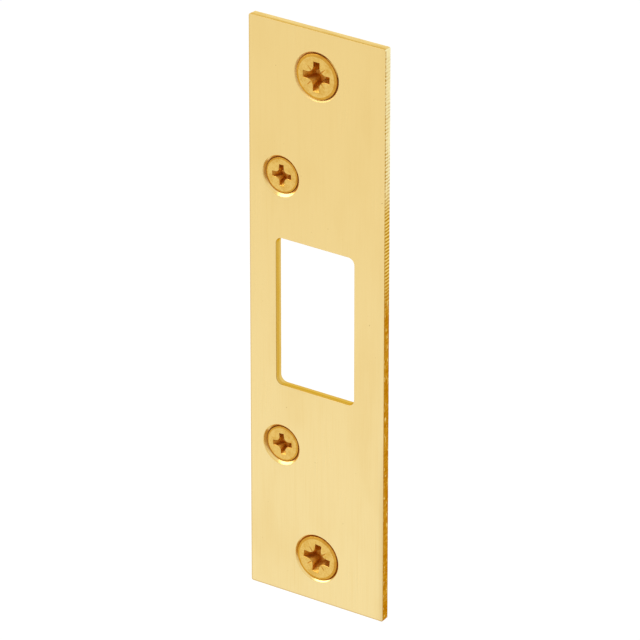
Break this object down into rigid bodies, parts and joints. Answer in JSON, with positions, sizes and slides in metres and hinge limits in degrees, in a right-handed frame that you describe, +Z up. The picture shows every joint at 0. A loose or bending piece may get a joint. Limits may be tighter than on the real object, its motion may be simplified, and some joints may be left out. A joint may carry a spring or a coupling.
{
  "type": "door strike plate",
  "caption": "Flat rectangular brass door strike plate with a rectangular bolt opening, fixed by large end screws and small offset screws in countersunk holes.",
  "frame": {"origin": "middle of the plate's back face, the face that lies on the door frame, at the centre of the plate's outline", "axes": "+Z up the plate's length, +X across it to the right as seen from the front, +Y into the door frame; the front face looks along -Y"},
  "size_m": [0.0318, 0.0164, 0.1238],
  "materials": {
    "plate_brass": "satin brass, finely brushed along the plate's length, with plain sheared edges",
    "screw_gold": "gold plated, semi-bright, a little deeper in colour than the plate"
  },
  "bodies": {
    "root": {"strike_plate": "plate_brass", "large_screws": "screw_gold", "small_screws": "screw_gold"}
  },
  "joints": []
}
